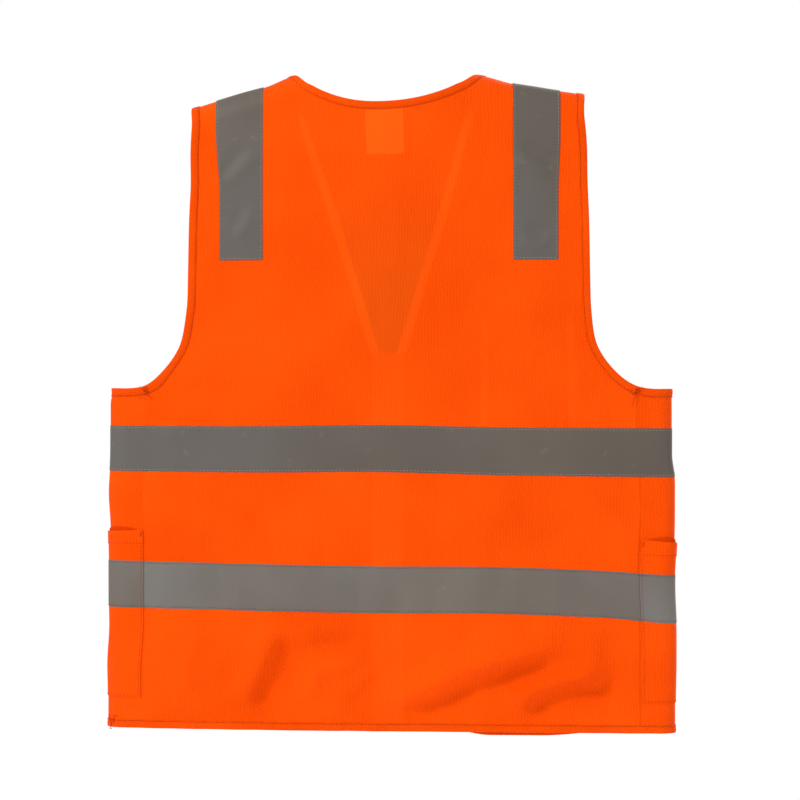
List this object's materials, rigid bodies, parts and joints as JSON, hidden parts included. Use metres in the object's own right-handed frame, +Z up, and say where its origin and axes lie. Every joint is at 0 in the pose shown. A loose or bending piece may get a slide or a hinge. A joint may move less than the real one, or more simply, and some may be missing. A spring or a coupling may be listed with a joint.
{
  "type": "high visibility vest",
  "caption": "Sleeveless high visibility vest with a V neck, front zip, reflective bands, shoulder tapes, side pockets, a chest pocket and a clear identity pocket.",
  "frame": {"origin": "midway between the shoulders, level with the points where the neck edge meets the shoulder seams", "axes": "+Z up, the front with its zip faces -Y, the wearer's left is +X"},
  "size_m": [0.6142, 0.0572, 0.6986],
  "materials": {
    "orange_knit": "warp knit polyester, matt, fluorescent orange",
    "orange_binding": "folded knit binding, matt, fluorescent orange",
    "reflective_tape": "glass bead reflective coating on woven backing, satin silver grey",
    "zip_cloth": "woven zip tape, matt",
    "zip_plastic": "moulded teeth, semi-gloss",
    "zip_metal": "die-cast zinc, bright plated",
    "clear_film": "clear soft vinyl film",
    "label_cloth": "white woven label, blank"
  },
  "bodies": {
    "vest": {"back_panel": "orange_knit", "left_front_panel": "orange_knit", "right_front_panel": "orange_knit", "neck_binding": "orange_binding", "left_armhole_binding": "orange_binding", "right_armhole_binding": "orange_binding", "hem_binding": "orange_binding", "upper_tape": "reflective_tape", "back_lower_tape": "reflective_tape", "left_side_lower_tape": "reflective_tape", "right_side_lower_tape": "reflective_tape", "left_pocket_tape": "reflective_tape", "right_pocket_tape": "reflective_tape", "left_shoulder_tape": "reflective_tape", "right_shoulder_tape": "reflective_tape", "left_side_pocket": "orange_knit", "right_side_pocket": "orange_knit", "chest_pocket": "orange_knit", "care_label": "label_cloth", "left_shoulder_seam": "orange_knit", "right_shoulder_seam": "orange_knit", "left_side_seam": "orange_knit", "right_side_seam": "orange_knit"},
    "left_front": {"left_front_flap": "orange_knit", "left_v_binding": "orange_binding", "left_hem_binding": "orange_binding", "left_upper_tape": "reflective_tape", "left_lower_tape": "reflective_tape", "id_pocket_frame": "orange_knit", "id_pocket_window": "clear_film", "left_zip_tape": "zip_cloth", "left_zip_teeth": "zip_plastic", "left_top_stop": "zip_metal", "insertion_pin": "zip_metal"},
    "right_front": {"right_front_flap": "orange_knit", "right_v_binding": "orange_binding", "right_hem_binding": "orange_binding", "right_upper_tape": "reflective_tape", "right_lower_tape": "reflective_tape", "right_zip_tape": "zip_cloth", "right_zip_teeth": "zip_plastic", "right_top_stop": "zip_metal", "retainer_box": "zip_metal"},
    "slider": {"zip_slider": "zip_metal"},
    "pull": {"pull_tab": "zip_metal"}
  },
  "joints": [
    {"name": "left_front_fold", "type": "hinge", "parent": "vest", "child": "left_front", "pos_m": [0.091, -0.023, -0.036], "axis": [-0.1532, 0, 0.9882], "range_deg": [0, 135]},
    {"name": "right_front_fold", "type": "hinge", "parent": "vest", "child": "right_front", "pos_m": [-0.091, -0.023, -0.036], "axis": [0, 0, -1], "range_deg": [0, 135]},
    {"name": "zip_slide", "type": "slide", "parent": "right_front", "child": "slider", "axis": [0, 0, -1], "range_m": [0, 0.366]},
    {"name": "pull_swing", "type": "hinge", "parent": "slider", "child": "pull", "pos_m": [0, -0.0263, -0.3035], "axis": [-1, 0, 0], "range_deg": [0, 170]}
  ]
}
